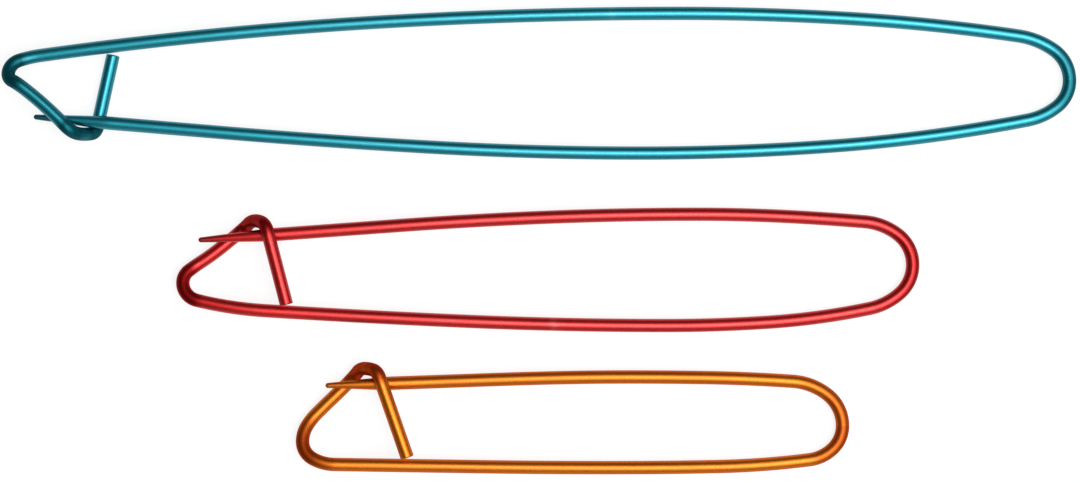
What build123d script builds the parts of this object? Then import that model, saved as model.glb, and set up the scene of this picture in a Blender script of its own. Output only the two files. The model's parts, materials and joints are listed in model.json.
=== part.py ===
"""A set of three stitch holders, each bent from one length of anodised aluminium wire.

Every holder is drawn in its own plan first. The bow's far point is at zero, the hook lies towards -X, the
sprung pin arm is on the +Y side and the fixed hook arm on the -Y side. Both arms lie at height zero. The
slant passes below the pin arm and the tail above it.

A reach is a distance from the bow's far point towards the hook, and an inset is one back from the nose's
far point. An offset is a distance out from the line along the middle of the holder. A run is measured along
that line and a drop across it. All of them are taken at the middle of the wire.
"""
from build123d import *
import math
import os
from types import SimpleNamespace

# The wire and what all three holders share
wire_diameter = 2.5
point_diameter = 0.95
pin_clearance = 0.2
tail_end_rounding = 0.3

# Large holder: the whole and its bow
large_length = 200.05
large_pin_shoulder_reach = 7.8
large_pin_shoulder_offset = 7.4
large_pin_shoulder_angle = 11
large_arm_shoulder_reach = 9.5
large_arm_shoulder_offset = 8.3
large_arm_shoulder_angle = 8.3

# Large holder: the two arms
large_pin_belly_reach_share = 0.4065
large_pin_belly_offset = 13.6
large_pin_lead_offset = 9.8
large_pin_lead_angle = 4.75
large_pin_straight_run = 20.3
large_pin_taper_run = 14.5
large_pin_tip_inset = 4.5
large_arm_belly_reach_share = 0.367
large_arm_belly_offset = 12.45

# Large holder: the nose
large_nose_start_inset = 5.8
large_nose_start_offset = 4.5
large_nose_start_angle = 8
large_nose_lead_share = 1
large_nose_offset = 1.1
large_slant_start_inset = 2.6
large_slant_start_offset = -1.4
large_slant_start_angle = 37

# Large holder: the hook and the tail, from the pin arm's axis
large_hook_inset = 13.6
large_hook_gap = 0.25
large_slant_end_run = 2.9
large_slant_end_drop = 1.5
large_slant_end_angle = 46
large_tail_start_run = 2.4
large_tail_start_drop = 1.5
large_tail_angle = 77.6
large_tail_length = 13.7

# Medium holder: the whole and its bow
medium_length = 138.65
medium_pin_shoulder_reach = 8.9
medium_pin_shoulder_offset = 8
medium_pin_shoulder_angle = 4.8
medium_arm_shoulder_reach = 8.1
medium_arm_shoulder_offset = 8.2
medium_arm_shoulder_angle = 11.6

# Medium holder: the two arms
medium_pin_belly_reach_share = 0.2947
medium_pin_belly_offset = 9.4
medium_pin_lead_offset = 7.3
medium_pin_lead_angle = 4.15
medium_pin_straight_run = 23
medium_pin_taper_run = 14.4
medium_pin_tip_inset = 3
medium_arm_belly_reach_share = 0.3358
medium_arm_belly_offset = 11.35

# Medium holder: the nose
medium_nose_start_inset = 15.4
medium_nose_start_offset = 8.55
medium_nose_start_angle = 3.6
medium_nose_lead_share = 2.3
medium_nose_offset = 3.3
medium_slant_start_inset = 3.3
medium_slant_start_offset = -0.5
medium_slant_start_angle = 33

# Medium holder: the hook and the tail, from the pin arm's axis
medium_hook_inset = 13.6
medium_hook_gap = 0.5
medium_slant_end_run = 2.9
medium_slant_end_drop = 1.9
medium_slant_end_angle = 40.5
medium_tail_start_run = 2.4
medium_tail_start_drop = 2
medium_tail_angle = 75.4
medium_tail_length = 14

# Small holder: the whole and its bow
small_length = 103.25
small_pin_shoulder_reach = 9.3
small_pin_shoulder_offset = 8.3
small_pin_shoulder_angle = 4
small_arm_shoulder_reach = 6.2
small_arm_shoulder_offset = 6.35
small_arm_shoulder_angle = 7.1

# Small holder: the two arms
small_pin_belly_reach_share = 0.405
small_pin_belly_offset = 9.15
small_pin_lead_offset = 8.7
small_pin_lead_angle = 1.95
small_pin_straight_run = 19.6
small_pin_taper_run = 11.9
small_pin_tip_inset = 4.3
small_arm_belly_reach_share = 0.402
small_arm_belly_offset = 7.75

# Small holder: the nose
small_nose_start_inset = 6
small_nose_start_offset = 7.05
small_nose_start_angle = 1
small_nose_lead_share = 1
small_nose_offset = 2.8
small_slant_start_inset = 2.6
small_slant_start_offset = -2.3
small_slant_start_angle = 45

# Small holder: the hook and the tail, from the pin arm's axis
small_hook_inset = 11.7
small_hook_gap = 0.7
small_slant_end_run = 2.9
small_slant_end_drop = 2.4
small_slant_end_angle = 46
small_tail_start_run = 2.7
small_tail_start_drop = 1.6
small_tail_angle = 70.8
small_tail_length = 15.7

# How the set lies: the smaller bows from the large one along X, and the clear gaps between the holders
medium_bow_inset = 29.3
small_bow_inset = 42.4
large_to_medium_gap = 8.9
medium_to_small_gap = 5.45

# How nearly in line two directions are before a line takes an arc's place
straight_within_angle = 0.0001
parallel_within_share = 1e-9


def large_sizes():
    """The large holder's sizes, by the names that all holders use."""
    return SimpleNamespace(
        length=large_length,
        pin_shoulder_reach=large_pin_shoulder_reach,
        pin_shoulder_offset=large_pin_shoulder_offset,
        pin_shoulder_angle=large_pin_shoulder_angle,
        arm_shoulder_reach=large_arm_shoulder_reach,
        arm_shoulder_offset=large_arm_shoulder_offset,
        arm_shoulder_angle=large_arm_shoulder_angle,
        pin_belly_reach_share=large_pin_belly_reach_share,
        pin_belly_offset=large_pin_belly_offset,
        pin_lead_offset=large_pin_lead_offset,
        pin_lead_angle=large_pin_lead_angle,
        pin_straight_run=large_pin_straight_run,
        pin_taper_run=large_pin_taper_run,
        pin_tip_inset=large_pin_tip_inset,
        arm_belly_reach_share=large_arm_belly_reach_share,
        arm_belly_offset=large_arm_belly_offset,
        nose_start_inset=large_nose_start_inset,
        nose_start_offset=large_nose_start_offset,
        nose_start_angle=large_nose_start_angle,
        nose_lead_share=large_nose_lead_share,
        nose_offset=large_nose_offset,
        slant_start_inset=large_slant_start_inset,
        slant_start_offset=large_slant_start_offset,
        slant_start_angle=large_slant_start_angle,
        hook_inset=large_hook_inset,
        hook_gap=large_hook_gap,
        slant_end_run=large_slant_end_run,
        slant_end_drop=large_slant_end_drop,
        slant_end_angle=large_slant_end_angle,
        tail_start_run=large_tail_start_run,
        tail_start_drop=large_tail_start_drop,
        tail_angle=large_tail_angle,
        tail_length=large_tail_length,
    )


def medium_sizes():
    """The medium holder's sizes, by the names that all holders use."""
    return SimpleNamespace(
        length=medium_length,
        pin_shoulder_reach=medium_pin_shoulder_reach,
        pin_shoulder_offset=medium_pin_shoulder_offset,
        pin_shoulder_angle=medium_pin_shoulder_angle,
        arm_shoulder_reach=medium_arm_shoulder_reach,
        arm_shoulder_offset=medium_arm_shoulder_offset,
        arm_shoulder_angle=medium_arm_shoulder_angle,
        pin_belly_reach_share=medium_pin_belly_reach_share,
        pin_belly_offset=medium_pin_belly_offset,
        pin_lead_offset=medium_pin_lead_offset,
        pin_lead_angle=medium_pin_lead_angle,
        pin_straight_run=medium_pin_straight_run,
        pin_taper_run=medium_pin_taper_run,
        pin_tip_inset=medium_pin_tip_inset,
        arm_belly_reach_share=medium_arm_belly_reach_share,
        arm_belly_offset=medium_arm_belly_offset,
        nose_start_inset=medium_nose_start_inset,
        nose_start_offset=medium_nose_start_offset,
        nose_start_angle=medium_nose_start_angle,
        nose_lead_share=medium_nose_lead_share,
        nose_offset=medium_nose_offset,
        slant_start_inset=medium_slant_start_inset,
        slant_start_offset=medium_slant_start_offset,
        slant_start_angle=medium_slant_start_angle,
        hook_inset=medium_hook_inset,
        hook_gap=medium_hook_gap,
        slant_end_run=medium_slant_end_run,
        slant_end_drop=medium_slant_end_drop,
        slant_end_angle=medium_slant_end_angle,
        tail_start_run=medium_tail_start_run,
        tail_start_drop=medium_tail_start_drop,
        tail_angle=medium_tail_angle,
        tail_length=medium_tail_length,
    )


def small_sizes():
    """The small holder's sizes, by the names that all holders use."""
    return SimpleNamespace(
        length=small_length,
        pin_shoulder_reach=small_pin_shoulder_reach,
        pin_shoulder_offset=small_pin_shoulder_offset,
        pin_shoulder_angle=small_pin_shoulder_angle,
        arm_shoulder_reach=small_arm_shoulder_reach,
        arm_shoulder_offset=small_arm_shoulder_offset,
        arm_shoulder_angle=small_arm_shoulder_angle,
        pin_belly_reach_share=small_pin_belly_reach_share,
        pin_belly_offset=small_pin_belly_offset,
        pin_lead_offset=small_pin_lead_offset,
        pin_lead_angle=small_pin_lead_angle,
        pin_straight_run=small_pin_straight_run,
        pin_taper_run=small_pin_taper_run,
        pin_tip_inset=small_pin_tip_inset,
        arm_belly_reach_share=small_arm_belly_reach_share,
        arm_belly_offset=small_arm_belly_offset,
        nose_start_inset=small_nose_start_inset,
        nose_start_offset=small_nose_start_offset,
        nose_start_angle=small_nose_start_angle,
        nose_lead_share=small_nose_lead_share,
        nose_offset=small_nose_offset,
        slant_start_inset=small_slant_start_inset,
        slant_start_offset=small_slant_start_offset,
        slant_start_angle=small_slant_start_angle,
        hook_inset=small_hook_inset,
        hook_gap=small_hook_gap,
        slant_end_run=small_slant_end_run,
        slant_end_drop=small_slant_end_drop,
        slant_end_angle=small_slant_end_angle,
        tail_start_run=small_tail_start_run,
        tail_start_drop=small_tail_start_drop,
        tail_angle=small_tail_angle,
        tail_length=small_tail_length,
    )


def plan_way(degrees_from_x, climb=0):
    """A direction of travel in the plan, with an optional climb for each unit along it."""
    angle = math.radians(degrees_from_x)
    return Vector(math.cos(angle), math.sin(angle), climb).normalized()


def tangent_run(start, way, end):
    """The line or the arc that leaves start along way and reaches end."""
    chord = end - start
    if chord.get_angle(way) < straight_within_angle:
        return Line(start, end)
    return TangentArc(start, end, tangent=way)


def bend(start, start_way, end, end_way, lead_share=1):
    """Two tangent arcs from one place and direction to another, in any plane.

    Each arc's ends lie equally far from its corner. The first arc's corner distance is lead_share times
    the second's.
    """
    chord = end - start
    square = 2 * lead_share * (1 - start_way.dot(end_way))
    along = chord.dot(start_way * lead_share + end_way)
    if square < parallel_within_share:
        arm = chord.dot(chord) / (2 * along)
    else:
        arm = (math.sqrt(along**2 + square * chord.dot(chord)) - along) / square
    first_corner = start + start_way * arm * lead_share
    second_corner = end - end_way * arm
    middle = (first_corner + second_corner * lead_share) / (1 + lead_share)
    middle_way = (second_corner - first_corner).normalized()
    return [tangent_run(start, start_way, middle), tangent_run(middle, middle_way, end)]


def tube(runs):
    """The wire along a chain of tangent lines and arcs."""
    path = Wire([edge for run in runs for edge in run.edges()])
    section = Plane(origin=path @ 0, z_dir=path % 0) * Circle(wire_diameter / 2)
    return sweep(section, path=path)


def stations(h):
    """Places and directions of travel where the bends of one holder begin and end."""
    level = wire_diameter + pin_clearance
    s = SimpleNamespace(level=level, bow=Vector(0, 0), bow_way=plan_way(90), belly_way=plan_way(180))
    nose_reach = h.length - wire_diameter
    tip_reach = nose_reach - h.pin_tip_inset
    taper_reach = tip_reach - h.pin_taper_run
    lead_reach = taper_reach - h.pin_straight_run
    lead_slope = math.tan(math.radians(h.pin_lead_angle))

    def on_pin_axis(reach):
        """The place on the straight end of the pin arm at a reach."""
        return Vector(-reach, h.pin_lead_offset - (reach - lead_reach) * lead_slope)

    s.pin_shoulder = Vector(-h.pin_shoulder_reach, h.pin_shoulder_offset)
    s.pin_shoulder_way = plan_way(180 - h.pin_shoulder_angle)
    s.pin_belly = Vector(-nose_reach * h.pin_belly_reach_share, h.pin_belly_offset)
    s.pin_lead = on_pin_axis(lead_reach)
    s.pin_way = plan_way(180 + h.pin_lead_angle)
    s.pin_taper = on_pin_axis(taper_reach)
    s.pin_tip = on_pin_axis(tip_reach)

    s.arm_shoulder = Vector(-h.arm_shoulder_reach, -h.arm_shoulder_offset)
    s.arm_shoulder_way = plan_way(180 + h.arm_shoulder_angle)
    s.arm_belly = Vector(-nose_reach * h.arm_belly_reach_share, -h.arm_belly_offset)
    s.nose_start = Vector(h.nose_start_inset - nose_reach, -h.nose_start_offset)
    s.nose_start_way = plan_way(180 - h.nose_start_angle)
    s.nose = Vector(-nose_reach, -h.nose_offset, -level / 2)
    s.nose_way = plan_way(90, -level / (h.nose_start_offset - h.slant_start_offset))
    s.slant_start = Vector(h.slant_start_inset - nose_reach, -h.slant_start_offset, -level)
    s.slant_start_way = plan_way(h.slant_start_angle)

    hook_reach = nose_reach - h.hook_inset
    thinned_share = max(hook_reach - taper_reach, 0) / h.pin_taper_run
    pin_diameter_in_hook = wire_diameter - (wire_diameter - point_diameter) * thinned_share
    hook_offset = (wire_diameter + pin_diameter_in_hook) / 2 + h.hook_gap
    s.hook = on_pin_axis(hook_reach) + Vector(0, hook_offset)
    s.slant_end = s.hook - Vector(h.slant_end_run, h.slant_end_drop, level)
    s.slant_end_way = plan_way(h.slant_end_angle)
    s.hook_way = plan_way(0, 2 * level / (h.slant_end_run + h.tail_start_run))
    s.tail_start = s.hook + Vector(h.tail_start_run, -h.tail_start_drop, level)
    s.tail_way = plan_way(-h.tail_angle)
    s.tail_end = s.tail_start + s.tail_way * h.tail_length
    return s


def pin_point(h, s):
    """The tapered end of the pin arm, with a round tip."""
    length = h.pin_taper_run / math.cos(math.radians(h.pin_lead_angle))
    tip_radius = point_diameter / 2
    side = Polyline((0, 0), (wire_diameter / 2, 0), (tip_radius, length - tip_radius))
    tip = RadiusArc(side @ 1, (0, length), -tip_radius)
    outline = Wire([*side.edges(), tip.edge(), Line(tip @ 1, side @ 0).edge()])
    along_pin = Plane(origin=s.pin_taper, x_dir=(0, 0, 1), z_dir=Vector(0, 0, 1).cross(s.pin_way))
    return along_pin * revolve(Face(outline), Axis.Y)


def tail(s):
    """The straight end over the pin arm, cut square with its rim rounded."""
    solid = tube([Line(s.tail_start, s.tail_end)])
    rim = solid.edges().filter_by(GeomType.CIRCLE).sort_by_distance(s.tail_end)[0]
    return fillet(rim, tail_end_rounding)


def holder(h, s):
    """All the stretches of one holder in its own plan, by name."""
    return {
        "bow": tube(
            bend(s.arm_shoulder, -s.arm_shoulder_way, s.bow, s.bow_way)
            + bend(s.bow, s.bow_way, s.pin_shoulder, s.pin_shoulder_way)
        ),
        "pin_arm": tube(
            bend(s.pin_shoulder, s.pin_shoulder_way, s.pin_belly, s.belly_way)
            + bend(s.pin_belly, s.belly_way, s.pin_lead, s.pin_way)
            + [Line(s.pin_lead, s.pin_taper)]
        ),
        "point": pin_point(h, s),
        "hook_arm": tube(
            bend(s.arm_shoulder, s.arm_shoulder_way, s.arm_belly, s.belly_way)
            + bend(s.arm_belly, s.belly_way, s.nose_start, s.nose_start_way)
        ),
        "nose": tube(
            bend(s.nose_start, s.nose_start_way, s.nose, s.nose_way, h.nose_lead_share)
            + bend(s.nose, s.nose_way, s.slant_start, s.slant_start_way)
        ),
        "slant": tube(bend(s.slant_start, s.slant_start_way, s.slant_end, s.slant_end_way)),
        "hook": tube(
            bend(s.slant_end, s.slant_end_way, s.hook, s.hook_way)
            + bend(s.hook, s.hook_way, s.tail_start, s.tail_way)
        ),
        "tail": tail(s),
    }


def lying(s, turned_over):
    """A holder's tilt as it lies on its bow and on the end of its low stretch nearest the bow."""
    low_stretch = (s.tail_start, s.tail_end) if turned_over else (s.slant_start, s.slant_end)
    reach = min(-place.X for place in low_stretch)
    tilt = math.degrees(math.atan2(s.level, reach))
    return Rotation(0, tilt, 0) * Rotation(180 if turned_over else 0, 0, 0)


def box_around(solids):
    """The box around a dictionary of solids."""
    return Compound(children=list(solids.values())).bounding_box()


def laid_set():
    """Every stretch of every holder where it lies, by node name, each holder clear below the one before."""
    nodes = {}
    lower_edge = 0
    for name, h, turned_over, bow_inset, gap in (
        ("large", large_sizes(), True, 0, 0),
        ("medium", medium_sizes(), False, medium_bow_inset, large_to_medium_gap),
        ("small", small_sizes(), False, small_bow_inset, medium_to_small_gap),
    ):
        s = stations(h)
        tilt = lying(s, turned_over)
        stretches = {stretch: (tilt * solid).solid() for stretch, solid in holder(h, s).items()}
        box = box_around(stretches)
        upper_edge = lower_edge - gap
        place = Pos(-bow_inset, upper_edge - box.max.Y)
        nodes |= {f"{name}_{stretch}": (place * solid).solid() for stretch, solid in stretches.items()}
        lower_edge = upper_edge - box.size.Y
    return nodes


def main():
    os.makedirs("parts", exist_ok=True)
    nodes = laid_set()
    box = box_around(nodes)
    to_origin = Pos(-box.center().X, -box.center().Y, -box.min.Z)
    for name, solid in nodes.items():
        export_step((to_origin * solid).solid(), f"parts/{name}.step")


main()
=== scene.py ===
"""A set of three stitch holders, each bent from one length of anodised aluminium wire.

Every holder is dressed as two pieces that meet at the middle of its bow: the hook side, from the cut end
of the tail round the hook, the nose and the hook arm, and the pin side, from the bow to the round point.
Sizes are in millimetres in the holders' own plans and become metres where the meshes are made.
"""

import json
import logging
import math
from dataclasses import astuple, dataclass
from enum import Enum

import bpy
import numpy as np
from mathutils import Matrix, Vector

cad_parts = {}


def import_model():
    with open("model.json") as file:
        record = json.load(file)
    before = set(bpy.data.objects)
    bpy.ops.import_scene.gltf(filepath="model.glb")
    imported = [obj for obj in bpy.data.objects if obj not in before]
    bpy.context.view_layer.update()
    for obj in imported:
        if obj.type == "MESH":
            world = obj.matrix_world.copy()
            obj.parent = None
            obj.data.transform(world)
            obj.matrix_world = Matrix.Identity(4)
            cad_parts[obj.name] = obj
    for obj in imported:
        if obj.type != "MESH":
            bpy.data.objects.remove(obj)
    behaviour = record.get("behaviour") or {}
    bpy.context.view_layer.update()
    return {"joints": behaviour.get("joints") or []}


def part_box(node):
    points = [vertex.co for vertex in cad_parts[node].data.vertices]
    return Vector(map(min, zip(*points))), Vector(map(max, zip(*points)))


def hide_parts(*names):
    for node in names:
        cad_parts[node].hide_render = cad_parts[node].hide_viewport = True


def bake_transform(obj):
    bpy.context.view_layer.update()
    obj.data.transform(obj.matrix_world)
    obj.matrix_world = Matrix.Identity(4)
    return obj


LOG = logging.getLogger("stitch_holders")
MM = 0.001
WHITE = (1.0, 1.0, 1.0, 1.0)

WIRE_DIAMETER = 2.5
POINT_DIAMETER = 0.95
PIN_CLEARANCE = 0.2
TAIL_END_ROUNDING = 0.3

RING_SIDES = 40
RING_SPACING = 1.1
RING_TURN = math.radians(3.0)
CAP_RINGS = 8
STRAIGHT_WITHIN = 1e-4
PARALLEL_WITHIN = 1e-9
QUAD_CORNERS = 4
FAN_CORNERS = 3
MIDWAY_ROUND = 0.5

TOWARDS_BOW = 0.0
ACROSS_ARMS = 90.0
TOWARDS_NOSE = 180.0

UV_NAME = "wire_uv"
STRAIN_NAME = "bend_strain"
RACK_NAME = "rack_mark"
POINT_NAME = "point_wear"


class Side(Enum):
    """The two pieces of one holder, by what each ends in."""

    HOOK = "hook_side"
    PIN = "pin_side"


class EndForm(Enum):
    """How a length of wire ends."""

    SQUARE_CUT = "square_cut"
    ROUND_POINT = "round_point"


def plan_way(degrees_from_x: float, climb: float = 0.0) -> np.ndarray:
    """A unit direction of travel: cosine and sine of the plan angle, with a climb for each unit along it.

    Args:
        degrees_from_x: plan angle from the X axis.
        climb: rise for each unit travelled in the plan.

    Returns:
        The direction as three numbers.
    """
    angle = math.radians(degrees_from_x)
    way = np.array([math.cos(angle), math.sin(angle), climb])
    return way / np.linalg.norm(way)


def point(x: float, y: float, z: float = 0.0) -> np.ndarray:
    """A place in a holder's own plan, in millimetres."""
    return np.array([x, y, z], dtype=float)


@dataclass(frozen=True)
class Walk:
    """Samples along a run: places, directions of travel, curvatures and the steps between them."""

    places: np.ndarray
    ways: np.ndarray
    curvatures: np.ndarray
    steps: np.ndarray


@dataclass(frozen=True)
class Run:
    """A straight line or a tangent arc that leaves start along way and reaches end."""

    start: np.ndarray
    way: np.ndarray
    end: np.ndarray

    def walk(self) -> Walk:
        """Samples the run from its start up to, and without, its end.

        With c the chord, t the first direction and n the unit part of c square to t, the arc has the
        radius R = c.c / (2 c.n) and turns by twice the angle between c and t. Its place at the turn a is
        start + R sin(a) t + R (1 - cos(a)) n, and its direction there is cos(a) t + sin(a) n.

        Returns:
            The samples, spaced by the ring spacing or by the ring turn, whichever is closer.
        """
        chord = self.end - self.start
        along = float(chord @ self.way)
        across = chord - along * self.way
        offset = float(np.linalg.norm(across))
        reach = float(np.linalg.norm(chord))
        if offset < STRAIGHT_WITHIN * reach:
            count = max(1, math.ceil(reach / RING_SPACING))
            shares = np.arange(count) / count
            places = self.start + np.outer(shares, chord)
            ways = np.tile(chord / reach, (count, 1))
            return Walk(places, ways, np.zeros(count), np.full(count, reach / count))
        side = across / offset
        radius = reach**2 / (2 * offset)
        turn = 2 * math.atan2(offset, along)
        count = max(math.ceil(turn / RING_TURN), math.ceil(radius * turn / RING_SPACING))
        turns = turn * np.arange(count) / count
        forward, sideways = np.sin(turns), np.cos(turns)
        places = self.start + radius * (np.outer(forward, self.way) + np.outer(1 - sideways, side))
        ways = np.outer(sideways, self.way) + np.outer(forward, side)
        return Walk(places, ways, np.full(count, 1 / radius), np.full(count, radius * turn / count))


def bend(
    start: np.ndarray, start_way: np.ndarray, end: np.ndarray, end_way: np.ndarray, lead_share: float = 1.0
) -> list[Run]:
    """Two tangent arcs from one place and direction to another.

    Each arc's ends lie equally far from its corner, and the first arc's corner distance is lead_share
    times the second's. The second distance d solves |chord - d (lead_share start_way + end_way)| =
    (1 + lead_share) d, and the arcs meet where the line between the corners is shared out the same way.

    Args:
        start: where the bend begins.
        start_way: direction of travel there.
        end: where it ends.
        end_way: direction of travel at the end.
        lead_share: first corner distance as a share of the second.

    Returns:
        The two runs in order.
    """
    chord = end - start
    square = 2 * lead_share * (1 - float(start_way @ end_way))
    along = float(chord @ (start_way * lead_share + end_way))
    if square < PARALLEL_WITHIN:
        arm = float(chord @ chord) / (2 * along)
    else:
        arm = (math.sqrt(along**2 + square * float(chord @ chord)) - along) / square
    first_corner = start + start_way * arm * lead_share
    second_corner = end - end_way * arm
    middle = (first_corner + second_corner * lead_share) / (1 + lead_share)
    middle_way = second_corner - first_corner
    middle_way = middle_way / np.linalg.norm(middle_way)
    return [Run(start, start_way, middle), Run(middle, middle_way, end)]


@dataclass(frozen=True)
class HolderSizes:
    """One holder's sizes in its own plan, from the middle of the bow, in millimetres and degrees."""

    length: float
    pin_shoulder: tuple[float, float, float]
    arm_shoulder: tuple[float, float, float]
    pin_belly_reach_share: float
    pin_belly_offset: float
    pin_lead_offset: float
    pin_lead_angle: float
    pin_straight_run: float
    pin_taper_run: float
    pin_tip_inset: float
    arm_belly_reach_share: float
    arm_belly_offset: float
    nose_start: tuple[float, float, float]
    nose_lead_share: float
    nose_offset: float
    slant_start: tuple[float, float, float]
    hook_inset: float
    hook_gap: float
    slant_end: tuple[float, float, float]
    tail_start: tuple[float, float]
    tail_angle: float
    tail_length: float


LARGE = HolderSizes(
    length=200.05,
    pin_shoulder=(7.8, 7.4, 11),
    arm_shoulder=(9.5, 8.3, 8.3),
    pin_belly_reach_share=0.4065,
    pin_belly_offset=13.6,
    pin_lead_offset=9.8,
    pin_lead_angle=4.75,
    pin_straight_run=20.3,
    pin_taper_run=14.5,
    pin_tip_inset=4.5,
    arm_belly_reach_share=0.367,
    arm_belly_offset=12.45,
    nose_start=(5.8, 4.5, 8),
    nose_lead_share=1,
    nose_offset=1.1,
    slant_start=(2.6, -1.4, 37),
    hook_inset=13.6,
    hook_gap=0.25,
    slant_end=(2.9, 1.5, 46),
    tail_start=(2.4, 1.5),
    tail_angle=77.6,
    tail_length=13.7,
)

MEDIUM = HolderSizes(
    length=138.65,
    pin_shoulder=(8.9, 8, 4.8),
    arm_shoulder=(8.1, 8.2, 11.6),
    pin_belly_reach_share=0.2947,
    pin_belly_offset=9.4,
    pin_lead_offset=7.3,
    pin_lead_angle=4.15,
    pin_straight_run=23,
    pin_taper_run=14.4,
    pin_tip_inset=3,
    arm_belly_reach_share=0.3358,
    arm_belly_offset=11.35,
    nose_start=(15.4, 8.55, 3.6),
    nose_lead_share=2.3,
    nose_offset=3.3,
    slant_start=(3.3, -0.5, 33),
    hook_inset=13.6,
    hook_gap=0.5,
    slant_end=(2.9, 1.9, 40.5),
    tail_start=(2.4, 2),
    tail_angle=75.4,
    tail_length=14,
)

SMALL = HolderSizes(
    length=103.25,
    pin_shoulder=(9.3, 8.3, 4),
    arm_shoulder=(6.2, 6.35, 7.1),
    pin_belly_reach_share=0.405,
    pin_belly_offset=9.15,
    pin_lead_offset=8.7,
    pin_lead_angle=1.95,
    pin_straight_run=19.6,
    pin_taper_run=11.9,
    pin_tip_inset=4.3,
    arm_belly_reach_share=0.402,
    arm_belly_offset=7.75,
    nose_start=(6, 7.05, 1),
    nose_lead_share=1,
    nose_offset=2.8,
    slant_start=(2.6, -2.3, 45),
    hook_inset=11.7,
    hook_gap=0.7,
    slant_end=(2.9, 2.4, 46),
    tail_start=(2.7, 1.6),
    tail_angle=70.8,
    tail_length=15.7,
)


class HolderPlan:
    """The centre line of one holder in its own plan, worked out from its sizes."""

    def __init__(self, h: HolderSizes) -> None:
        """Works out where the bends begin and end.

        Args:
            h: the holder's sizes.
        """
        self.level = WIRE_DIAMETER + PIN_CLEARANCE
        self.bow, self.bow_way, self.belly_way = point(0, 0), plan_way(ACROSS_ARMS), plan_way(TOWARDS_NOSE)
        nose_reach = h.length - WIRE_DIAMETER
        tip_reach = nose_reach - h.pin_tip_inset
        taper_reach = tip_reach - h.pin_taper_run
        lead_reach = taper_reach - h.pin_straight_run
        slope = math.tan(math.radians(h.pin_lead_angle))

        def on_pin_axis(reach: float) -> np.ndarray:
            """The place on the straight end of the pin arm at a reach."""
            return point(-reach, h.pin_lead_offset - (reach - lead_reach) * slope)

        reach, offset, angle = h.pin_shoulder
        self.pin_shoulder, self.pin_shoulder_way = point(-reach, offset), plan_way(TOWARDS_NOSE - angle)
        self.pin_belly = point(-nose_reach * h.pin_belly_reach_share, h.pin_belly_offset)
        self.pin_lead, self.pin_way = on_pin_axis(lead_reach), plan_way(TOWARDS_NOSE + h.pin_lead_angle)
        self.pin_taper, self.pin_tip = on_pin_axis(taper_reach), on_pin_axis(tip_reach)

        reach, offset, angle = h.arm_shoulder
        self.arm_shoulder, self.arm_shoulder_way = point(-reach, -offset), plan_way(TOWARDS_NOSE + angle)
        self.arm_belly = point(-nose_reach * h.arm_belly_reach_share, -h.arm_belly_offset)
        inset, nose_start_offset, angle = h.nose_start
        self.nose_start = point(inset - nose_reach, -nose_start_offset)
        self.nose_start_way = plan_way(TOWARDS_NOSE - angle)
        inset, slant_start_offset, angle = h.slant_start
        self.nose = point(-nose_reach, -h.nose_offset, -self.level / 2)
        self.nose_way = plan_way(ACROSS_ARMS, -self.level / (nose_start_offset - slant_start_offset))
        self.slant_start = point(inset - nose_reach, -slant_start_offset, -self.level)
        self.slant_start_way = plan_way(angle)

        run, drop, angle = h.slant_end
        tail_run, tail_drop = h.tail_start
        hook_reach = nose_reach - h.hook_inset
        thinned_share = max(hook_reach - taper_reach, 0) / h.pin_taper_run
        pin_diameter_in_hook = WIRE_DIAMETER - (WIRE_DIAMETER - POINT_DIAMETER) * thinned_share
        hook_offset = (WIRE_DIAMETER + pin_diameter_in_hook) / 2 + h.hook_gap
        self.hook = on_pin_axis(hook_reach) + point(0, hook_offset)
        self.slant_end = self.hook - point(run, drop, self.level)
        self.slant_end_way = plan_way(angle)
        self.hook_way = plan_way(TOWARDS_BOW, 2 * self.level / (run + tail_run))
        self.tail_start = self.hook + point(tail_run, -tail_drop, self.level)
        self.tail_way = plan_way(-h.tail_angle)
        self.tail_end = self.tail_start + self.tail_way * h.tail_length
        self.nose_lead_share = h.nose_lead_share

    def hook_side(self) -> list[Run]:
        """The wire from the bow along the hook arm, round the nose and the hook, to the tail's end.

        Returns:
            Its runs in order.
        """
        return [
            *bend(self.bow, -self.bow_way, self.arm_shoulder, self.arm_shoulder_way),
            *bend(self.arm_shoulder, self.arm_shoulder_way, self.arm_belly, self.belly_way),
            *bend(self.arm_belly, self.belly_way, self.nose_start, self.nose_start_way),
            *bend(self.nose_start, self.nose_start_way, self.nose, self.nose_way, self.nose_lead_share),
            *bend(self.nose, self.nose_way, self.slant_start, self.slant_start_way),
            *bend(self.slant_start, self.slant_start_way, self.slant_end, self.slant_end_way),
            *bend(self.slant_end, self.slant_end_way, self.hook, self.hook_way),
            *bend(self.hook, self.hook_way, self.tail_start, self.tail_way),
            Run(self.tail_start, self.tail_way, self.tail_end),
        ]

    def pin_side(self) -> list[Run]:
        """The wire from the bow along the pin arm to the tip of the point.

        Returns:
            Its runs in order.
        """
        return [
            *bend(self.bow, self.bow_way, self.pin_shoulder, self.pin_shoulder_way),
            *bend(self.pin_shoulder, self.pin_shoulder_way, self.pin_belly, self.belly_way),
            *bend(self.pin_belly, self.belly_way, self.pin_lead, self.pin_way),
            Run(self.pin_lead, self.pin_way, self.pin_taper),
            Run(self.pin_taper, self.pin_way, self.pin_tip),
        ]

    def lying(self, turned_over: bool) -> np.ndarray:
        """The turn of a holder that lies on its bow and on the end of its low stretch nearest the bow.

        Args:
            turned_over: whether the tail side lies below.

        Returns:
            A 3 by 3 matrix: half a turn about X where turned over, then the tilt about Y.
        """
        low = (self.tail_start, self.tail_end) if turned_over else (self.slant_start, self.slant_end)
        tilt = math.atan2(self.level, min(-place[0] for place in low))
        about_y = np.array(
            [[math.cos(tilt), 0, math.sin(tilt)], [0, 1, 0], [-math.sin(tilt), 0, math.cos(tilt)]]
        )
        return about_y @ np.diag([1.0, -1.0, -1.0]) if turned_over else about_y


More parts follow.
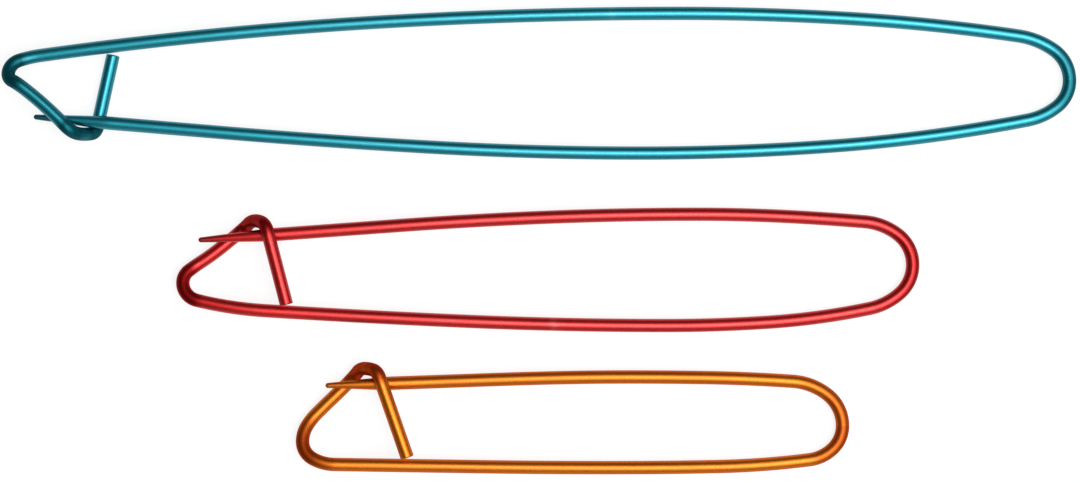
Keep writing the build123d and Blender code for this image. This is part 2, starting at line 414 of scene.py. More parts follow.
class WireShape:
    """A round wire carried along runs, as rings of points with their normals."""

    FLAT_SHARE = 0.05
    STRAIN_SPREAD = 1.6
    STRAIN_FULL = 0.42
    TAPER_SOFTENING = 0.16

    def __init__(self, runs: list[Run], taper_run: float = 0.0) -> None:
        """Samples the runs and works out the radius, lean and strain at each ring.

        The radius is the wire's. Over the taper it falls by a share g(x), with x from 0 to 1 along it:
        x squared / 2w up to the softening w, then x - w/2, over 1 - w/2. The lean is the angle whose
        tangent is the fall of the radius for each unit travelled.

        Args:
            runs: the wire's centre line.
            taper_run: length of the tapered end, or 0 for a wire that stays full to its end.
        """
        walks = [run.walk() for run in runs]
        last = runs[-1]
        self.places = np.vstack([*(walk.places for walk in walks), last.end])
        self.ways = np.vstack([*(walk.ways for walk in walks), last.way])
        curvatures = np.concatenate([*(walk.curvatures for walk in walks), [0.0]])
        steps = np.concatenate([walk.steps for walk in walks])
        self.lengths = np.concatenate([[0.0], np.cumsum(steps)])
        self.radii = np.full(len(self.places), WIRE_DIAMETER / 2)
        self.leans = np.zeros(len(self.places))
        self.strains = self._spread(curvatures * WIRE_DIAMETER / 2, steps)
        if taper_run:
            self._taper(taper_run)

    def _spread(self, strains: np.ndarray, steps: np.ndarray) -> np.ndarray:
        """Spreads the bending strain along the wire, since a bend never starts at one ring.

        The strain at a ring is the mean of all rings' strains, weighted by their share of the length
        and by the bell curve exp(-(distance / spread) squared).

        Args:
            strains: wire radius over bend radius at each ring.
            steps: distances between rings.

        Returns:
            The spread strain as a share of the strongest that marks the wire, 1 at most.
        """
        shares = np.append(steps, steps[-1])
        apart = self.lengths[:, None] - self.lengths[None, :]
        weights = np.exp(-((apart / self.STRAIN_SPREAD) ** 2)) * shares[None, :]
        spread = weights @ strains / weights.sum(axis=1)
        return np.clip(spread / self.STRAIN_FULL, 0, 1)

    def _taper(self, taper_run: float) -> None:
        """Thins the last part of the wire down to the point's radius, one tip radius before its end.

        Args:
            taper_run: length of the tapered end.
        """
        tip_radius = POINT_DIAMETER / 2
        end = self.lengths[-1]
        run = taper_run - tip_radius
        x = np.clip((self.lengths - (end - taper_run)) / run, 0, 1)
        w = self.TAPER_SOFTENING
        fall = np.where(x < w, x**2 / (2 * w), x - w / 2) / (1 - w / 2)
        slope = np.where(x < w, x / w, 1.0) / (1 - w / 2)
        drop = WIRE_DIAMETER / 2 - tip_radius
        self.radii -= drop * fall
        self.leans = np.arctan(np.where(x > 0, slope * drop / run, 0.0))
        kept = self.lengths <= end - tip_radius
        kept[np.flatnonzero(~kept)[0]] = True
        self.places, self.ways, self.lengths = self.places[kept], self.ways[kept], self.lengths[kept]
        self.radii, self.leans, self.strains = self.radii[kept], self.leans[kept], self.strains[kept]
        back = self.lengths[-1] - (end - tip_radius)
        self.places[-1] = self.places[-1] - self.ways[-1] * back
        self.lengths[-1], self.radii[-1] = end - tip_radius, tip_radius
        self.leans[-1] = math.atan(drop / run / (1 - w / 2))

    def close_end(self, form: EndForm) -> None:
        """Adds the rings that close the far end.

        A round point's rings lie on a ball of the last radius. A square cut's rings go round its rim:
        at the lean a they stand sin(a) of the rounding forward and have lost (1 - cos(a)) of it.

        Args:
            form: how the wire ends.
        """
        rounding = self.radii[-1] if form is EndForm.ROUND_POINT else TAIL_END_ROUNDING
        leans = np.linspace(self.leans[-1], math.pi / 2, CAP_RINGS + 1)[1:]
        if form is EndForm.ROUND_POINT:
            leans = leans[:-1]
            origin = self.places[-1]
            radii = rounding * np.cos(leans)
        else:
            keep = self.lengths < self.lengths[-1] - TAIL_END_ROUNDING
            keep[-1] = True
            for name in ("places", "ways", "lengths", "radii", "leans", "strains"):
                setattr(self, name, getattr(self, name)[keep])
            origin = self.places[-1] - self.ways[-1] * TAIL_END_ROUNDING
            self.places[-1] = origin
            self.lengths[-1] -= TAIL_END_ROUNDING
            radii = self.radii[-1] - rounding * (1 - np.cos(leans))
        ahead = rounding * np.sin(leans)
        way, count = self.ways[-1], len(leans)
        self.places = np.vstack([self.places, origin + np.outer(ahead, way)])
        self.ways = np.vstack([self.ways, np.tile(way, (count, 1))])
        self.lengths = np.concatenate([self.lengths, self.lengths[-1] + ahead])
        self.radii = np.concatenate([self.radii, radii])
        self.leans = np.concatenate([self.leans, leans])
        self.strains = np.concatenate([self.strains, np.full(count, self.strains[-1])])
        self.tip = origin + way * rounding

    def box(self, turn: np.ndarray) -> tuple[np.ndarray, np.ndarray]:
        """The box of the turned wire with every section a full circle.

        Along an axis the surface reaches r sqrt(1 - w squared) past the centre line, with r the radius
        and w the part of the unit direction of travel along that axis.

        Args:
            turn: the 3 by 3 turn from the holder's plan to the frame.

        Returns:
            The lowest and the highest corner, in millimetres from the plan's origin.
        """
        places, ways = self.places @ turn.T, self.ways @ turn.T
        reach = self.radii[:, None] * np.sqrt(np.clip(1 - ways**2, 0, 1))
        return (places - reach).min(axis=0), (places + reach).max(axis=0)

    def rings(self) -> tuple[np.ndarray, np.ndarray]:
        """The surface points and their normals.

        With s = up x way made a unit, u = way x s, r the radius, f the share lost to flattening at bends
        and q the angle round the wire, a point is place + r (cos(q) s + (1 - f) sin(q) u). Its normal
        leans from the section's own normal towards the way by the ring's lean.

        Returns:
            Two arrays of rings by sides by 3, in plan millimetres and as unit normals.
        """
        up = np.array([0.0, 0.0, 1.0])
        across = np.cross(up, self.ways)
        across /= np.linalg.norm(across, axis=1, keepdims=True)
        over = np.cross(self.ways, across)
        angles = 2 * math.pi * (np.arange(RING_SIDES) / RING_SIDES) - math.pi / 2
        cos, sin = np.cos(angles)[None, :, None], np.sin(angles)[None, :, None]
        kept = (1 - self.FLAT_SHARE * self.strains)[:, None, None]
        across, over = across[:, None, :], over[:, None, :]
        radial = cos * across + kept * sin * over
        points = self.places[:, None, :] + self.radii[:, None, None] * radial
        normals = kept * cos * across + sin * over
        normals /= np.linalg.norm(normals, axis=2, keepdims=True)
        leans = self.leans[:, None, None]
        normals = np.cos(leans) * normals + np.sin(leans) * self.ways[:, None, :]
        return points, normals


@dataclass(frozen=True)
class Mark:
    """A spot on the wire where the colour differs: its distance along the wire, its size and strength."""

    along: float
    half_length: float
    strength: float


def add_object(name: str, data: bpy.types.ID) -> bpy.types.Object:
    """Puts a mesh, a light or a camera into the scene.

    Args:
        name: the object's name.
        data: what it holds.

    Returns:
        The new object.
    """
    obj = bpy.data.objects.new(name, data)
    bpy.context.scene.collection.objects.link(obj)
    return obj


@dataclass(frozen=True)
class WirePiece:
    """The mesh object of one side of a holder: its rings, turned from the plan and put at a place.

    The place is where the plan's origin lies in the frame, in millimetres, and the marks are spots of
    rubbed or pale finish.
    """

    shape: WireShape
    turn: np.ndarray
    place: np.ndarray
    marks: tuple[Mark, ...]

    def build(self, name: str) -> bpy.types.Object:
        """Makes the closed mesh: quads between rings, and a fan at either end.

        Args:
            name: the object's name.

        Returns:
            The new object, with its place in its vertices.
        """
        points, normals = self.shape.rings()
        rings = len(points)
        ends = np.array([self.shape.places[0], self.shape.tip])
        end_ways = np.array([-self.shape.ways[0], self.shape.ways[-1]])
        vertices = np.vstack([points.reshape(-1, 3), ends]) @ self.turn.T + self.place
        vertex_normals = np.vstack([normals.reshape(-1, 3), end_ways]) @ self.turn.T
        corners, starts, totals = self._faces(rings)
        mesh = bpy.data.meshes.new(name)
        mesh.vertices.add(len(vertices))
        mesh.vertices.foreach_set("co", (vertices * MM).astype(np.float32).ravel())
        mesh.loops.add(len(corners))
        mesh.loops.foreach_set("vertex_index", corners.astype(np.int32))
        mesh.polygons.add(len(starts))
        mesh.polygons.foreach_set("loop_start", starts.astype(np.int32))
        mesh.polygons.foreach_set("loop_total", totals.astype(np.int32))
        mesh.polygons.foreach_set("use_smooth", np.ones(len(starts), dtype=bool))
        mesh.update(calc_edges=True)
        self._set_uv(mesh, corners, rings)
        self._set_wear(mesh, rings)
        corner_normals = vertex_normals[corners]
        near_fan = RING_SIDES * FAN_CORNERS
        corner_normals[-near_fan:] = end_ways[0] @ self.turn.T
        mesh.normals_split_custom_set(corner_normals.tolist())
        return add_object(name, mesh)

    @staticmethod
    def _faces(rings: int) -> tuple[np.ndarray, np.ndarray, np.ndarray]:
        """The faces' corners: ring quads, then the far fan, then the near fan.

        Args:
            rings: number of rings.

        Returns:
            Vertex index of every corner, first corner of every face and its number of corners.
        """
        j = np.arange(RING_SIDES)
        following = (j + 1) % RING_SIDES
        base = (np.arange(rings - 1) * RING_SIDES)[:, None]
        quads = np.stack(
            [base + j, base + following, base + RING_SIDES + following, base + RING_SIDES + j], axis=2
        ).reshape(-1)
        last, near_end = (rings - 1) * RING_SIDES, rings * RING_SIDES
        far_end = near_end + 1
        far = np.stack([last + j, last + following, np.full(RING_SIDES, far_end)], axis=1).ravel()
        near = np.stack([following, j, np.full(RING_SIDES, near_end)], axis=1).ravel()
        totals = np.repeat([QUAD_CORNERS, FAN_CORNERS], [last, 2 * RING_SIDES])
        starts = np.concatenate([[0], np.cumsum(totals)[:-1]])
        return np.concatenate([quads, far, near]), starts, totals

    def _set_uv(self, mesh: bpy.types.Mesh, corners: np.ndarray, rings: int) -> None:
        """Gives each corner its distance along the wire in metres and its share of a turn round it.

        Args:
            mesh: the piece's mesh.
            corners: vertex index of every corner.
            rings: number of rings.
        """
        lengths = np.append(np.repeat(self.shape.lengths, RING_SIDES), [0.0, self.shape.lengths[-1]]) * MM
        shares = np.append(np.tile(np.arange(RING_SIDES) / RING_SIDES, rings), [MIDWAY_ROUND] * 2)
        u, v = lengths[corners], shares[corners]
        quads = (rings - 1) * RING_SIDES
        quad_v = v[: quads * QUAD_CORNERS].reshape(quads, QUAD_CORNERS)
        wraps = np.arange(quads) % RING_SIDES == RING_SIDES - 1
        following_corners = [1, 2]
        quad_v[np.ix_(wraps, following_corners)] = 1.0
        layer = mesh.uv_layers.new(name=UV_NAME)
        layer.uv.foreach_set("vector", np.stack([u, v], axis=1).astype(np.float32).ravel())

    def _set_wear(self, mesh: bpy.types.Mesh, rings: int) -> None:
        """Writes the bend strain, the rack marks and the nearness of the point as mesh attributes.

        Args:
            mesh: the piece's mesh.
            rings: number of rings.
        """
        lengths = self.shape.lengths
        rack = np.zeros(rings)
        for mark in self.marks:
            away = (lengths - mark.along) / mark.half_length
            rack = np.maximum(rack, mark.strength * np.exp(-(away**2)))
        full = WIRE_DIAMETER / 2
        thinned = np.clip((full - self.shape.radii) / (full - POINT_DIAMETER / 2), 0, 1)
        for name, values in ((STRAIN_NAME, self.shape.strains), (RACK_NAME, rack), (POINT_NAME, thinned)):
            attribute = mesh.attributes.new(name, "FLOAT", "POINT")
            all_values = np.append(np.repeat(values, RING_SIDES), [values[0], values[-1]])
            attribute.data.foreach_set("value", all_values.astype(np.float32))


@dataclass(frozen=True)
class Span:
    """A span of values that is read, from low to high, and the span that it becomes."""

    low: float
    high: float
    to_low: float
    to_high: float


@dataclass(frozen=True)
class WireNoise:
    """A noise over the wire: its fineness for each metre along it and round it, and its finer layers."""

    along: float
    round_wire: float
    layers: float
    harshness: float


class MixKind(Enum):
    """What a mix node mixes: its data type, its first and second input and its output."""

    NUMBER = ("FLOAT", 2, 3, 0)
    COLOUR = ("RGBA", 6, 7, 2)


@dataclass(frozen=True)
class NodeBuilder:
    """Adds and links shader nodes in one tree."""

    tree: bpy.types.NodeTree

    def sockets(self, in_out: str, kind: str, *names: str) -> None:
        """Gives the node group inputs or outputs of one kind."""
        for name in names:
            self.tree.interface.new_socket(name, in_out=in_out, socket_type=kind)

    def found(self, kind: str) -> bpy.types.Node:
        """The node of a kind that the tree already has."""
        return next(node for node in self.tree.nodes if node.type == kind)

    def add(self, kind: str, **settings: object) -> bpy.types.Node:
        """Adds a node and sets its plain properties.

        Args:
            kind: the node's type name.
            **settings: properties by name.

        Returns:
            The node.
        """
        node = self.tree.nodes.new(kind)
        for name, value in settings.items():
            setattr(node, name, value)
        return node

    def link(self, source: bpy.types.NodeSocket, target: bpy.types.NodeSocket) -> None:
        """Links one socket to another."""
        self.tree.links.new(source, target)

    def feed(self, target: bpy.types.NodeSocket, value: object) -> None:
        """Links a socket or writes a value, whichever is given.

        Args:
            target: the input socket.
            value: an output socket, or a value that the input can hold.
        """
        if isinstance(value, bpy.types.NodeSocket):
            self.link(value, target)
        else:
            target.default_value = value

    def math(
        self, operation: str, first: object, second: object = None, clamp: bool = False
    ) -> bpy.types.NodeSocket:
        """A math node's result.

        Args:
            operation: the node's operation.
            first: first socket or number.
            second: second socket or number, or None where the operation has one input.
            clamp: whether the result stays within 0 and 1.

        Returns:
            The output socket.
        """
        node = self.add("ShaderNodeMath", operation=operation, use_clamp=clamp)
        self.feed(node.inputs[0], first)
        if second is not None:
            self.feed(node.inputs[1], second)
        return node.outputs[0]

    def mix(
        self, kind: MixKind, share: object, first: object, second: object, blend: str = "MIX"
    ) -> bpy.types.NodeSocket:
        """A mix node's result.

        Args:
            kind: what is mixed.
            share: share of the second.
            first: first socket or value.
            second: second socket or value.
            blend: how a second colour is laid over the first.

        Returns:
            The output socket.
        """
        data_type, first_input, second_input, output = kind.value
        node = self.add("ShaderNodeMix", data_type=data_type, blend_type=blend)
        self.feed(node.inputs["Factor"], share)
        self.feed(node.inputs[first_input], first)
        self.feed(node.inputs[second_input], second)
        return node.outputs[output]

    def ramp(self, value: bpy.types.NodeSocket, span: Span) -> bpy.types.NodeSocket:
        """Maps a value from one span to another, held at its ends.

        Args:
            value: the socket to map.
            span: what is read and what it becomes.

        Returns:
            The output socket.
        """
        node = self.add("ShaderNodeMapRange", clamp=True)
        for name, number in zip(("From Min", "From Max", "To Min", "To Max"), astuple(span)):
            node.inputs[name].default_value = number
        self.link(value, node.inputs["Value"])
        return node.outputs["Result"]

    def noise(self, vector: bpy.types.NodeSocket, noise: WireNoise) -> bpy.types.NodeSocket:
        """A noise texture's value, as fine as the place that it is read at is stretched.

        Args:
            vector: where it is read.
            noise: its finer layers.

        Returns:
            The factor socket.
        """
        node = self.add("ShaderNodeTexNoise", noise_dimensions="3D")
        self.link(vector, node.inputs["Vector"])
        for name, number in (("Scale", 1.0), ("Detail", noise.layers), ("Roughness", noise.harshness)):
            node.inputs[name].default_value = number
        return node.outputs["Fac"]


class WireFinishGroups:
    """The node groups that the three finishes share."""

    DRAWING = "drawn_wire_lines"
    SKIN = "anodised_skin"

    NOISES = {
        "Lines": WireNoise(along=60.0, round_wire=5.0, layers=3.0, harshness=0.6),
        "Clouds": WireNoise(along=60.0, round_wire=0.6, layers=2.0, harshness=0.5),
        "Speckle": WireNoise(along=4200.0, round_wire=4.6, layers=2.0, harshness=0.65),
    }

    STRAIN_TO_BENT = Span(low=0.15, high=0.6, to_low=0.0, to_high=1.0)
    THINNED_TO_POINT = Span(low=0.55, high=1.0, to_low=0.0, to_high=1.0)
    SPECKLE_TO_RAGGED = Span(low=0.35, high=0.6, to_low=0.3, to_high=1.0)
    CLOUDS_TO_SHADE = Span(low=0.3, high=0.7, to_low=0.94, to_high=1.05)
    LINES_TO_SHADE = Span(low=0.3, high=0.7, to_low=0.95, to_high=1.05)
    SPECKLE_TO_ROUGHNESS = Span(low=0.3, high=0.7, to_low=-0.03, to_high=0.03)
    BENT_TO_COAT = Span(low=0.0, high=1.0, to_low=1.0, to_high=0.2)
    LINE_HEIGHT_SHARE = 0.7
    SPECKLE_HEIGHT_SHARE = 0.3

    def __init__(self) -> None:
        """Builds both groups once."""
        self.drawing = self._build_drawing()
        self.skin = self._build_skin()

    def _build_drawing(self) -> bpy.types.NodeTree:
        """Fine lines that the drawing die leaves along the wire, and slow clouds of the dye.

        The wire's distance along and angle round it become a place on a stretched tube, with the angle
        as its cosine and sine, so that the noise closes round the wire.

        Returns:
            The group, with the outputs Lines, Clouds and Speckle.
        """
        tree = bpy.data.node_groups.new(self.DRAWING, "ShaderNodeTree")
        b = NodeBuilder(tree)
        b.sockets("INPUT", "NodeSocketFloat", "Seed")
        b.sockets("OUTPUT", "NodeSocketFloat", *self.NOISES)
        given, result = b.add("NodeGroupInput"), b.add("NodeGroupOutput")
        uv = b.add("ShaderNodeUVMap", uv_map=UV_NAME)
        split = b.add("ShaderNodeSeparateXYZ")
        b.link(uv.outputs["UV"], split.inputs[0])
        angle = b.math("MULTIPLY", split.outputs["Y"], 2 * math.pi)
        cosine, sine = b.math("COSINE", angle), b.math("SINE", angle)
        for name, noise in self.NOISES.items():
            vector = b.add("ShaderNodeCombineXYZ")
            along = b.math("MULTIPLY", split.outputs["X"], noise.along)
            b.link(b.math("ADD", along, given.outputs["Seed"]), vector.inputs["X"])
            b.link(b.math("MULTIPLY", cosine, noise.round_wire), vector.inputs["Y"])
            b.link(b.math("MULTIPLY", sine, noise.round_wire), vector.inputs["Z"])
            b.link(b.noise(vector.outputs[0], noise), result.inputs[name])
        return tree

    def _build_skin(self) -> bpy.types.NodeTree:
        """The dyed skin: its colour, gloss and fine relief, with rack marks, the point, and bends that are
        rougher and darkened by painted shade.

        Returns:
            The group, with the outputs Colour, Roughness, Coat and Height.
        """
        tree = bpy.data.node_groups.new(self.SKIN, "ShaderNodeTree")
        b = NodeBuilder(tree)
        b.sockets("INPUT", "NodeSocketColor", "Colour", "Bend Shade Colour", "Pale Colour", "Point Colour")
        b.sockets("INPUT", "NodeSocketFloat", "Roughness", "Bent Roughness", "Coat", *self.NOISES)
        b.sockets("OUTPUT", "NodeSocketColor", "Colour")
        b.sockets("OUTPUT", "NodeSocketFloat", "Roughness", "Coat", "Height")
        given, result = b.add("NodeGroupInput"), b.add("NodeGroupOutput")
        strain, rack, thinned = (
            b.add("ShaderNodeAttribute", attribute_name=name).outputs["Fac"]
            for name in (STRAIN_NAME, RACK_NAME, POINT_NAME)
        )
        lines, clouds, speckle = (given.outputs[name] for name in self.NOISES)
        bent = b.ramp(strain, self.STRAIN_TO_BENT)
        # Painted shade: bent stretches take a darker colour where their highlight falls away.
        colour = b.mix(MixKind.COLOUR, bent, given.outputs["Colour"], given.outputs["Bend Shade Colour"])
        tipped = b.ramp(thinned, self.THINNED_TO_POINT)
        colour = b.mix(MixKind.COLOUR, tipped, colour, given.outputs["Point Colour"])
        ragged = b.math("MULTIPLY", rack, b.ramp(speckle, self.SPECKLE_TO_RAGGED))
        colour = b.mix(MixKind.COLOUR, ragged, colour, given.outputs["Pale Colour"])
        cloud_shade, line_shade = b.ramp(clouds, self.CLOUDS_TO_SHADE), b.ramp(lines, self.LINES_TO_SHADE)
        shade = b.math("MULTIPLY", cloud_shade, line_shade)
        shades = b.add("ShaderNodeCombineColor")
        for name in ("Red", "Green", "Blue"):
            b.link(shade, shades.inputs[name])
        colour = b.mix(MixKind.COLOUR, 1.0, colour, shades.outputs[0], blend="MULTIPLY")
        smooth, rough = given.outputs["Roughness"], given.outputs["Bent Roughness"]
        roughness = b.mix(MixKind.NUMBER, bent, smooth, rough)
        roughness = b.math("ADD", roughness, b.ramp(speckle, self.SPECKLE_TO_ROUGHNESS), clamp=True)
        coat = b.math("MULTIPLY", given.outputs["Coat"], b.ramp(bent, self.BENT_TO_COAT))
        line_height = b.math("MULTIPLY", lines, self.LINE_HEIGHT_SHARE)
        height = b.math("ADD", line_height, b.math("MULTIPLY", speckle, self.SPECKLE_HEIGHT_SHARE))
        for name, value in zip(("Colour", "Roughness", "Coat", "Height"), (colour, roughness, coat, height)):
            b.link(value, result.inputs[name])
        return tree


@dataclass(frozen=True)
class AnodisedFinish:
    """A dyed and sealed finish on aluminium wire, with its colours in linear light."""

    name: str
    slot: str
    colour: tuple[float, float, float]
    # Darker colour for bends: painted shade where the bends lose their highlight.
    bend_shade_colour: tuple[float, float, float]
    pale_colour: tuple[float, float, float]
    point_colour: tuple[float, float, float]
    edge_tint: tuple[float, float, float]
    roughness: float
    bent_roughness: float
    coat: float
    seed: float

    COAT_ROUGHNESS = 0.25
    COAT_IOR = 1.6
    LINE_DEPTH = 0.004
    LINE_STRENGTH = 0.12

    def build(self, groups: WireFinishGroups) -> bpy.types.Material:
        """Makes the material.

        Args:
            groups: the shared node groups.

        Returns:
            The material.
        """
        material = bpy.data.materials.new(self.name)
        material.use_nodes = True
        b = NodeBuilder(material.node_tree)
        shader = b.found("BSDF_PRINCIPLED")
        drawing = b.add("ShaderNodeGroup", node_tree=groups.drawing)
        skin = b.add("ShaderNodeGroup", node_tree=groups.skin)
        bump = b.add("ShaderNodeBump")
        for node, name, value in (
            (drawing, "Seed", self.seed),
            (skin, "Colour", (*self.colour, 1.0)),
            (skin, "Bend Shade Colour", (*self.bend_shade_colour, 1.0)),
            (skin, "Pale Colour", (*self.pale_colour, 1.0)),
            (skin, "Point Colour", (*self.point_colour, 1.0)),
            (skin, "Roughness", self.roughness),
            (skin, "Bent Roughness", self.bent_roughness),
            (skin, "Coat", self.coat),
            *((skin, name, drawing.outputs[name]) for name in groups.NOISES),
            (bump, "Strength", self.LINE_STRENGTH),
            (bump, "Distance", self.LINE_DEPTH * MM),
            (bump, "Height", skin.outputs["Height"]),
            (shader, "Base Color", skin.outputs["Colour"]),
            (shader, "Roughness", skin.outputs["Roughness"]),
            (shader, "Coat Weight", skin.outputs["Coat"]),
            (shader, "Normal", bump.outputs["Normal"]),
            (shader, "Metallic", 1.0),
            (shader, "Specular Tint", (*self.edge_tint, 1.0)),
            (shader, "Coat Roughness", self.COAT_ROUGHNESS),
            (shader, "Coat IOR", self.COAT_IOR),
        ):
            b.feed(node.inputs[name], value)
        return material


TEAL = AnodisedFinish(
    name="teal_anodised_wire",
    slot="teal_anodised",
    colour=(0.002, 0.25, 0.32),
    bend_shade_colour=(0.002, 0.10, 0.125),
    pale_colour=(0.08, 0.34, 0.40),
    point_colour=(0.004, 0.10, 0.13),
    edge_tint=(0.006, 0.24, 0.3),
    roughness=0.38,
    bent_roughness=0.50,
    coat=0.55,
    seed=3.0,
)
RED = AnodisedFinish(
    name="red_anodised_wire",
    slot="red_anodised",
    colour=(0.55, 0.009, 0.009),
    bend_shade_colour=(0.28, 0.005, 0.006),
    pale_colour=(0.75, 0.12, 0.10),
    point_colour=(0.34, 0.012, 0.014),
    edge_tint=(0.6, 0.03, 0.04),
    roughness=0.43,
    bent_roughness=0.44,
    coat=0.58,
    seed=11.0,
)
ORANGE = AnodisedFinish(
    name="orange_anodised_wire",
    slot="orange_anodised",
    colour=(0.62, 0.163, 0.009),
    bend_shade_colour=(0.37, 0.055, 0.006),
    pale_colour=(0.95, 0.45, 0.08),
    point_colour=(0.55, 0.13, 0.010),
    edge_tint=(0.62, 0.05, 0.03),
    roughness=0.40,
    bent_roughness=0.48,
    coat=0.17,
    seed=23.0,
)


@dataclass
class StitchHolder:
    """One holder: its sizes, how it lies and its finish."""

    name: str
    sizes: HolderSizes
    finish: AnodisedFinish
    turned_over: bool
    hook_marks: tuple[Mark, ...] = ()

    HOOK_NODES = ("hook_arm", "nose", "slant", "hook", "tail")
    PIN_NODES = ("bow", "pin_arm", "point")
    FLEX_HALF_RUN = 8.0

    def build(self, material: bpy.types.Material, hinges: dict[str, list[float]]) -> None:
        """Makes both sides.

        Args:
            material: the wire's finish.
            hinges: where each joint of the frame lies, in metres; not used.
        """
        plan = HolderPlan(self.sizes)
        turn = plan.lying(self.turned_over)
        hook_shape = WireShape(plan.hook_side())
        pin_taper = self.sizes.pin_taper_run / math.cos(math.radians(self.sizes.pin_lead_angle))
        pin_shape = WireShape(plan.pin_side(), pin_taper)
        place = self._place([hook_shape.box(turn), pin_shape.box(turn)])
        hook_shape.close_end(EndForm.SQUARE_CUT)
        pin_shape.close_end(EndForm.ROUND_POINT)
        for side, shape, marks, nodes in (
            (Side.HOOK, hook_shape, self.hook_marks, self.HOOK_NODES),
            (Side.PIN, pin_shape, (), self.PIN_NODES),
        ):
            piece = WirePiece(shape, turn, place, marks).build(f"{self.name}_{side.value}")
            piece.data.materials.append(material)
            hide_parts(*(f"{self.name}_{node}" for node in nodes))
            self._join_bodies(piece, side)
            LOG.info("%s: %d faces", piece.name, len(piece.data.polygons))

    def _place(self, boxes: list[tuple[np.ndarray, np.ndarray]]) -> np.ndarray:
        """Where the plan's origin lies: it brings the middle of the wires' box to the CAD nodes' middle.

        Args:
            boxes: the corners of both wires' boxes, in millimetres from the plan's origin.

        Returns:
            The place in the frame, in millimetres.
        """
        nodes = [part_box(f"{self.name}_{node}") for node in self.HOOK_NODES + self.PIN_NODES]
        cad_low, cad_high = np.min(nodes, axis=(0, 1)) / MM, np.max(nodes, axis=(0, 1)) / MM
        low, high = np.min(boxes, axis=(0, 1)), np.max(boxes, axis=(0, 1))
        return (cad_low + cad_high - low - high) / 2

    def _join_bodies(
        self, piece: bpy.types.Object, side: Side
    ) -> None:
        """Bakes the piece's transform into its mesh, on either side.

        Args:
            piece: the side's object.
            side: which side it is.
        """
        if side is Side.HOOK:
            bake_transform(piece)
        else:
            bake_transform(piece)


@dataclass(frozen=True)
class Softbox:
    """A rectangular lamp: where it is, where it points, its size and how bright its face looks."""

    name: str
    place: tuple[float, float, float]
    aim: tuple[float, float, float]
    width: float
    depth: float
    radiance: float

    def build(self) -> None:
        """Makes the lamp, with the power pi times radiance times area that its face needs."""
        data = bpy.data.lights.new(self.name, "AREA")
        data.shape = "RECTANGLE"
        data.size, data.size_y = self.width, self.depth
        data.energy = self.radiance * math.pi * self.width * self.depth
        aim_at(add_object(self.name, data), self.place, self.aim)


def aim_at(obj: bpy.types.Object, place: tuple[float, float, float], aim: tuple[float, float, float]) -> None:
    """Puts an object at a place with its -Z axis towards an aim and its top towards +Y.

    Args:
        obj: the lamp or camera.
        place: where it goes.
        aim: what it looks at.
    """
    back = np.array(place, dtype=float) - np.array(aim, dtype=float)
    back /= np.linalg.norm(back)
    right = np.cross([0.0, 1.0, 0.0], back)
    right /= np.linalg.norm(right)
    top = np.cross(back, right)
    matrix = np.eye(4)
    matrix[:3, 0], matrix[:3, 1], matrix[:3, 2], matrix[:3, 3] = right, top, back, place
    obj.matrix_world = Matrix(matrix.tolist())


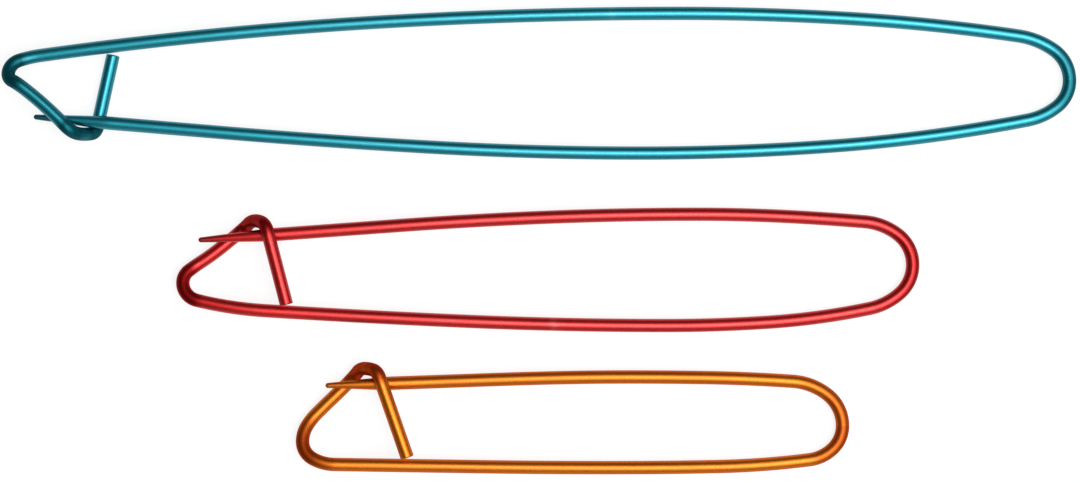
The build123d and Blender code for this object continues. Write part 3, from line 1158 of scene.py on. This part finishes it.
@dataclass
class Studio:
    """The pale floor, the soft lamps, the world and the camera over the set.

    Lengths are in metres, apart from the sensor's width, the frame's width and centre and the framed
    level, which are in millimetres.
    """

    floor_size: float = 6.0
    floor_drop: float = 0.0004
    floor_colour: float = 0.25
    floor_glow: float = 0.80
    floor_roughness: float = 0.9
    world_level: float = 0.15
    sensor: float = 36.0
    camera_height: float = 0.6
    frame_width: float = 201.30
    frame_centre: tuple[float, float] = (-0.16, -0.19)
    framed_level: float = WIRE_DIAMETER
    camera_range: float = 20.0

    SOFTBOXES = (
        Softbox(
            name="overhead_softbox",
            place=(0.63, -0.21, 1.0), aim=(0.63, -0.21, 0.0),
            width=1.44, depth=1.50, radiance=2.1,
        ),
        Softbox(
            name="overhead_core",
            place=(0.16, -0.09, 0.95), aim=(0.16, -0.09, 0.0),
            width=0.36, depth=0.40, radiance=6.0,
        ),
        Softbox(
            name="near_fill",
            place=(0.15, -1.6, 0.55), aim=(0.0, 0.0, 0.0),
            width=1.6, depth=0.9, radiance=0.45,
        ),
    )

    def build(self) -> None:
        """Makes everything that isn't the object."""
        self._floor()
        for softbox in self.SOFTBOXES:
            softbox.build()
        self._world()
        self._camera()

    def _floor(self) -> None:
        """A pale plane whose own glow brings it to white for the camera and for reflections."""
        half = self.floor_size / 2
        corners = [(-half, -half), (half, -half), (half, half), (-half, half)]
        mesh = bpy.data.meshes.new("floor")
        mesh.from_pydata([(x, y, -self.floor_drop) for x, y in corners], [], [(0, 1, 2, 3)])
        floor = add_object("floor", mesh)
        material = bpy.data.materials.new("pale_floor")
        material.use_nodes = True
        b = NodeBuilder(material.node_tree)
        shader = b.found("BSDF_PRINCIPLED")
        shader.inputs["Base Color"].default_value = (*[self.floor_colour] * 3, 1.0)
        shader.inputs["Roughness"].default_value = self.floor_roughness
        shader.inputs["Specular IOR Level"].default_value = 0.0
        path = b.add("ShaderNodeLightPath")
        seen = b.math("MAXIMUM", path.outputs["Is Camera Ray"], path.outputs["Is Glossy Ray"])
        seen = b.math("MAXIMUM", seen, path.outputs["Is Transmission Ray"])
        shader.inputs["Emission Color"].default_value = WHITE
        b.link(b.math("MULTIPLY", seen, self.floor_glow), shader.inputs["Emission Strength"])
        mesh.materials.append(material)

    def _world(self) -> None:
        """An even grey surround."""
        world = bpy.data.worlds.new("studio_surround")
        world.use_nodes = True
        background = NodeBuilder(world.node_tree).found("BACKGROUND")
        background.inputs["Color"].default_value = WHITE
        background.inputs["Strength"].default_value = self.world_level
        bpy.context.scene.world = world

    def _camera(self) -> None:
        """A long lens straight above, which at the framed level sees as wide as the photograph."""
        data = bpy.data.cameras.new("overhead_camera")
        data.type = "PERSP"
        data.sensor_width = self.sensor
        reach = self.camera_height - self.framed_level * MM
        data.lens = self.sensor * reach / (self.frame_width * MM)
        data.clip_end = self.camera_range
        camera = add_object("overhead_camera", data)
        x, y = (value * MM for value in self.frame_centre)
        aim_at(camera, (x, y, self.camera_height), (x, y, 0.0))
        bpy.context.scene.camera = camera


HOLDERS = (
    StitchHolder(
        name="large", sizes=LARGE, finish=TEAL, turned_over=True,
        hook_marks=(Mark(along=90.0, half_length=0.9, strength=0.5),),
    ),
    StitchHolder(
        name="medium", sizes=MEDIUM, finish=RED, turned_over=False,
        hook_marks=(Mark(along=71.5, half_length=0.7, strength=0.6),),
    ),
    StitchHolder(name="small", sizes=SMALL, finish=ORANGE, turned_over=False),
)


def main() -> None:
    """Dresses the frame and sets up the studio."""
    logging.basicConfig(level=logging.INFO, format="%(name)s %(message)s")
    bpy.context.scene.view_settings.view_transform = "Standard"
    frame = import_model()
    hinges = {joint["name"]: joint["pos_m"] for joint in frame["joints"]}
    groups = WireFinishGroups()
    for holder in HOLDERS:
        holder.build(holder.finish.build(groups), hinges)
    Studio().build()


if __name__ == "__main__":
    main()
